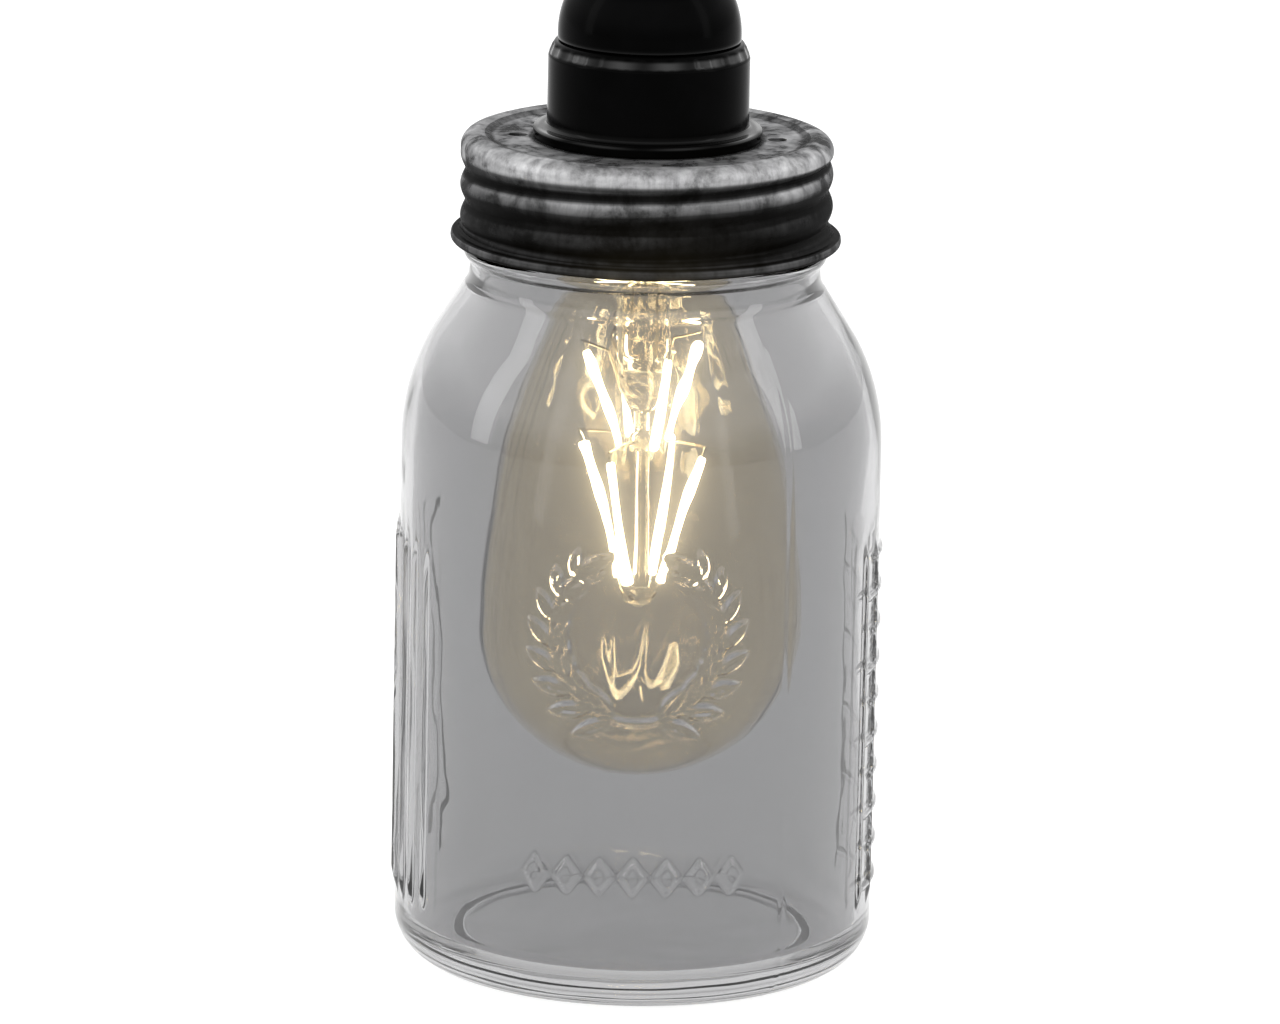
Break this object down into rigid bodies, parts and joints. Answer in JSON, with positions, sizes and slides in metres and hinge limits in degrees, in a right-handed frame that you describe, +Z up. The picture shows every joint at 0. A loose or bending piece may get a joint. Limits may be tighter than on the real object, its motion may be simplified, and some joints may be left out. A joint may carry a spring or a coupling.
{
  "type": "jar pendant light",
  "caption": "Smoke-glass screw-top jar light: a galvanised screw lid carries a black lampholder with a screw-in filament lamp inside the jar; jar and lamp unscrew.",
  "frame": {"origin": "centre of the jar's base, on the plane it stands on", "axes": "+Z up along the common axis of jar, lid and lamp; -Y is the front, +X the right seen from the front"},
  "size_m": [0.096, 0.096, 0.215],
  "materials": {
    "jar_glass": "clear smoke-grey pressed glass, glossy",
    "lid_steel": "galvanised sheet, satin with grain",
    "seal_rubber": "matt",
    "black_moulding": "gloss black moulding",
    "porcelain": "glazed white",
    "brass": "plain rolled brass",
    "plated": "nickel plate, satin",
    "lamp_glass": "clear, faint amber",
    "stem_glass": "clear",
    "insulator": "black glass",
    "solder": "dull solder",
    "board": "laminate",
    "driver": "moulded",
    "phosphor": "coated light bar, lit",
    "wire": "drawn wire"
  },
  "bodies": {
    "head": {"screw_lid": "lid_steel", "socket_body": "black_moulding", "socket_cap": "black_moulding", "shade_ring": "black_moulding", "contact_carrier": "porcelain", "screw_shell": "brass", "centre_contact": "brass", "shell_rivets": "brass", "centre_rivet": "brass", "terminal_plates": "brass", "terminal_screws": "plated", "cord_grip": "black_moulding", "grip_screw": "plated"},
    "seal": {"lid_gasket": "seal_rubber"},
    "jar": {"glass_jar": "jar_glass"},
    "lamp_tip": {"bulb_tip_contact": "solder"},
    "lamp": {"bulb_envelope": "lamp_glass", "bulb_screw_cap": "plated", "bulb_insulator": "insulator", "driver_board": "board", "driver_parts": "driver", "glass_stem": "stem_glass", "stem_rod": "stem_glass", "lower_filaments": "phosphor", "lower_filament_tabs": "wire", "upper_filaments": "phosphor", "upper_filament_tabs": "wire", "lower_support_wires": "wire", "middle_support_wires": "wire", "upper_support_wires": "wire", "lead_wires": "wire"}
  },
  "joints": [
    {"name": "lid_turn", "type": "hinge", "parent": "jar", "child": "seal", "pos_m": [0, 0, 0.1545], "axis": [0, 0, 1], "range_deg": [0, 810]},
    {"name": "lid_rise", "type": "slide", "parent": "seal", "child": "head", "axis": [0, 0, 1], "range_m": [0, 0.0145]},
    {"name": "lamp_drop", "type": "slide", "parent": "head", "child": "lamp_tip", "axis": [0, 0, -1], "range_m": [0, 0.0165]},
    {"name": "lamp_turn", "type": "hinge", "parent": "lamp_tip", "child": "lamp", "pos_m": [0, 0, 0.165], "axis": [0, 0, -1], "range_deg": [0, 1620]}
  ],
  "couplings": [
    {"joint": "lid_rise", "follows": "lid_turn", "m_per_rad": 0.0010106},
    {"joint": "lamp_drop", "follows": "lamp_turn", "m_per_rad": 0.00057751}
  ]
}
